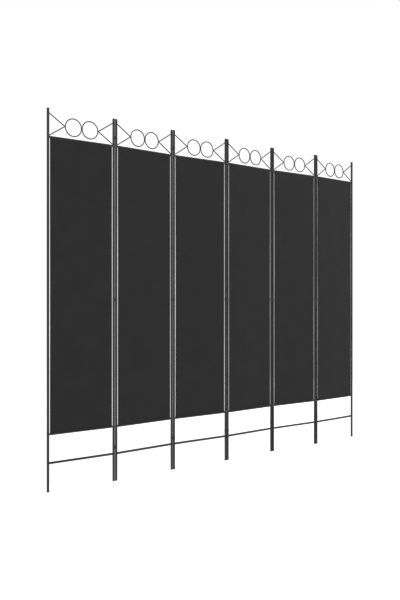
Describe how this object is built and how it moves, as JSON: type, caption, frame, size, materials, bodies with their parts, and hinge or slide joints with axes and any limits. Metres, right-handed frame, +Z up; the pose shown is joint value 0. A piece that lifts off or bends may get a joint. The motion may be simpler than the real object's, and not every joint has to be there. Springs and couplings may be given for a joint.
{
  "type": "folding room divider screen",
  "caption": "Folding room divider of narrow steel-framed cloth panels joined post to post by double clips, with wire rings across the top of each panel.",
  "frame": {"origin": "on the floor, under the middle of the screen, which stands nearly straight: each panel is turned 2 degrees from X, odd ones clockwise from above and even ones anticlockwise", "axes": "+X along the screen from panel 1 to panel 6, +Y to the back, +Z up"},
  "size_m": [2.398, 0.0274, 2],
  "materials": {
    "frame": "satin black powder coat",
    "cloth": "matt plain-woven polyester, black",
    "screws": "bright zinc plate",
    "plastic": "moulded black plastic, fine texture"
  },
  "bodies": {
    "panel_1": {"left_post_1": "frame", "right_post_1": "frame", "top_rod_1": "frame", "bottom_rod_1": "frame", "crossbar_1": "frame", "ornament_1": "frame", "fabric_1": "cloth", "rod_screws_1": "screws", "end_caps_1": "plastic"},
    "clips_1": {"hinge_clips_1": "plastic"},
    "panel_2": {"left_post_2": "frame", "right_post_2": "frame", "top_rod_2": "frame", "bottom_rod_2": "frame", "crossbar_2": "frame", "ornament_2": "frame", "fabric_2": "cloth", "rod_screws_2": "screws", "end_caps_2": "plastic"},
    "clips_2": {"hinge_clips_2": "plastic"},
    "panel_3": {"left_post_3": "frame", "right_post_3": "frame", "top_rod_3": "frame", "bottom_rod_3": "frame", "crossbar_3": "frame", "ornament_3": "frame", "fabric_3": "cloth", "rod_screws_3": "screws", "end_caps_3": "plastic"},
    "clips_3": {"hinge_clips_3": "plastic"},
    "panel_4": {"left_post_4": "frame", "right_post_4": "frame", "top_rod_4": "frame", "bottom_rod_4": "frame", "crossbar_4": "frame", "ornament_4": "frame", "fabric_4": "cloth", "rod_screws_4": "screws", "end_caps_4": "plastic"},
    "clips_4": {"hinge_clips_4": "plastic"},
    "panel_5": {"left_post_5": "frame", "right_post_5": "frame", "top_rod_5": "frame", "bottom_rod_5": "frame", "crossbar_5": "frame", "ornament_5": "frame", "fabric_5": "cloth", "rod_screws_5": "screws", "end_caps_5": "plastic"},
    "clips_5": {"hinge_clips_5": "plastic"},
    "panel_6": {"left_post_6": "frame", "right_post_6": "frame", "top_rod_6": "frame", "bottom_rod_6": "frame", "crossbar_6": "frame", "ornament_6": "frame", "fabric_6": "cloth", "rod_screws_6": "screws", "end_caps_6": "plastic"}
  },
  "joints": [
    {"name": "pair_1_left_pivot", "type": "hinge", "parent": "clips_1", "child": "panel_1", "pos_m": [-0.80733, -0.00671, 0], "axis": [0, 0, -1], "range_deg": [-92, 88]},
    {"name": "pair_1_right_pivot", "type": "hinge", "parent": "panel_2", "child": "clips_1", "pos_m": [-0.79173, -0.00671, 0], "axis": [0, 0, -1], "range_deg": [-92, 88]},
    {"name": "pair_2_left_pivot", "type": "hinge", "parent": "clips_2", "child": "panel_2", "pos_m": [-0.40757, 0.00671, 0], "axis": [0, 0, 1], "range_deg": [-92, 88]},
    {"name": "pair_2_right_pivot", "type": "hinge", "parent": "panel_3", "child": "clips_2", "pos_m": [-0.39197, 0.00671, 0], "axis": [0, 0, 1], "range_deg": [-92, 88]},
    {"name": "pair_3_left_pivot", "type": "hinge", "parent": "panel_3", "child": "clips_3", "pos_m": [-0.0078, -0.00671, 0], "axis": [0, 0, 1], "range_deg": [-92, 88]},
    {"name": "pair_3_right_pivot", "type": "hinge", "parent": "clips_3", "child": "panel_4", "pos_m": [0.0078, -0.00671, 0], "axis": [0, 0, 1], "range_deg": [-92, 88]},
    {"name": "pair_4_left_pivot", "type": "hinge", "parent": "panel_4", "child": "clips_4", "pos_m": [0.39197, 0.00671, 0], "axis": [0, 0, -1], "range_deg": [-92, 88]},
    {"name": "pair_4_right_pivot", "type": "hinge", "parent": "clips_4", "child": "panel_5", "pos_m": [0.40757, 0.00671, 0], "axis": [0, 0, -1], "range_deg": [-92, 88]},
    {"name": "pair_5_left_pivot", "type": "hinge", "parent": "panel_5", "child": "clips_5", "pos_m": [0.79173, -0.00671, 0], "axis": [0, 0, 1], "range_deg": [-92, 88]},
    {"name": "pair_5_right_pivot", "type": "hinge", "parent": "clips_5", "child": "panel_6", "pos_m": [0.80733, -0.00671, 0], "axis": [0, 0, 1], "range_deg": [-92, 88]}
  ]
}
